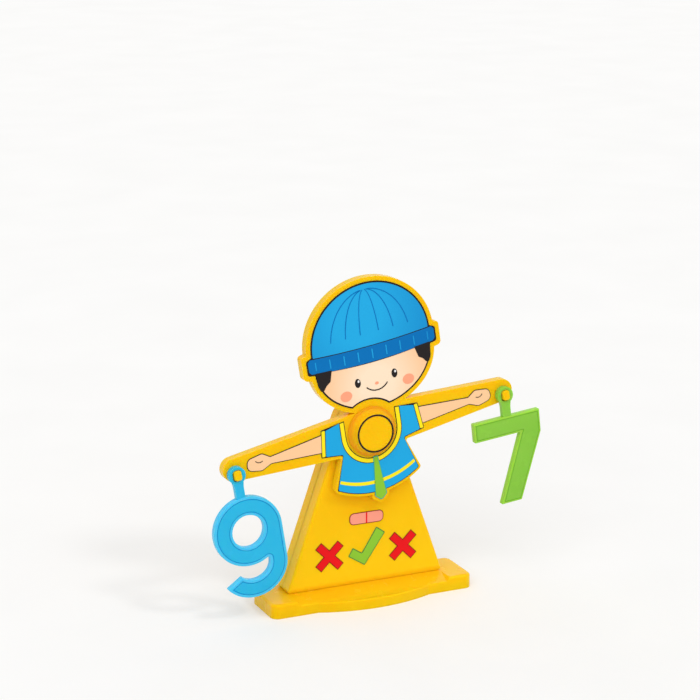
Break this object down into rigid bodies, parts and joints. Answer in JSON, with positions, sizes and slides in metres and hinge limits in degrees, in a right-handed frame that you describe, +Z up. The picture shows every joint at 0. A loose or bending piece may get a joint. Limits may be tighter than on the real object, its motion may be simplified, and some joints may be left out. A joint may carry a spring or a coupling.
{
  "type": "number balance",
  "caption": "Toy balance: a doll-shaped beam tilts about one axle on a tower with a flat base, and a number hangs from a peg on each arm.",
  "frame": {"origin": "middle of the base's underside, in line with the axle", "axes": "+X to the viewer's right, -Y towards the viewer, +Z up"},
  "size_m": [0.357, 0.068, 0.3339],
  "materials": {
    "yellow_plastic": "smooth moulded, softly shining",
    "cover_plastic": "fine moulded grain",
    "cyan_plastic": "smooth moulded, softly shining",
    "green_plastic": "smooth moulded, softly shining",
    "bush_plastic": "natural, low friction",
    "screw_steel": "zinc plated",
    "weight_steel": "punched plate, oiled",
    "black_print": "printed film",
    "blue_print": "printed film",
    "skin_print": "printed film",
    "red_print": "printed film",
    "green_print": "printed film",
    "pink_print": "printed film"
  },
  "bodies": {
    "stand": {"base_shell": "yellow_plastic", "base_underplate": "cover_plastic", "base_screw_1": "screw_steel", "base_screw_2": "screw_steel", "base_screw_3": "screw_steel", "base_screw_4": "screw_steel", "foot_screw_1": "screw_steel", "foot_screw_2": "screw_steel", "tower_front_shell": "yellow_plastic", "tower_rear_shell": "yellow_plastic", "tower_screw_1": "screw_steel", "tower_screw_2": "screw_steel", "tower_screw_3": "screw_steel", "tower_screw_4": "screw_steel", "pivot_axle": "screw_steel", "knob": "yellow_plastic", "knob_ring": "black_print", "cross_label_left": "red_print", "cross_label_right": "red_print", "tick_label": "green_print", "bar_label": "pink_print"},
    "figure": {"figure_front": "yellow_plastic", "figure_back": "cover_plastic", "figure_screw_1": "screw_steel", "figure_screw_2": "screw_steel", "figure_screw_3": "screw_steel", "figure_screw_4": "screw_steel", "figure_screw_5": "screw_steel", "figure_screw_6": "screw_steel", "counterweight": "weight_steel", "pivot_bush": "bush_plastic", "left_peg": "yellow_plastic", "right_peg": "yellow_plastic", "head_label": "skin_print", "shirt_label": "blue_print", "left_arm_label": "skin_print", "right_arm_label": "skin_print", "pointer_label": "green_print"},
    "nine": {"number_nine": "cyan_plastic"},
    "seven": {"number_seven": "green_plastic"}
  },
  "joints": [
    {"name": "beam_tilt", "type": "hinge", "parent": "stand", "child": "figure", "pos_m": [0, 0, 0.178], "axis": [0, 1, 0], "range_deg": [0, 18]},
    {"name": "nine_lift_off", "type": "slide", "parent": "figure", "child": "nine", "axis": [-0.0136, -0.9962, 0.0861], "range_m": [0, 0.03]},
    {"name": "seven_lift_off", "type": "slide", "parent": "figure", "child": "seven", "axis": [-0.0136, -0.9962, 0.0861], "range_m": [0, 0.03]}
  ]
}
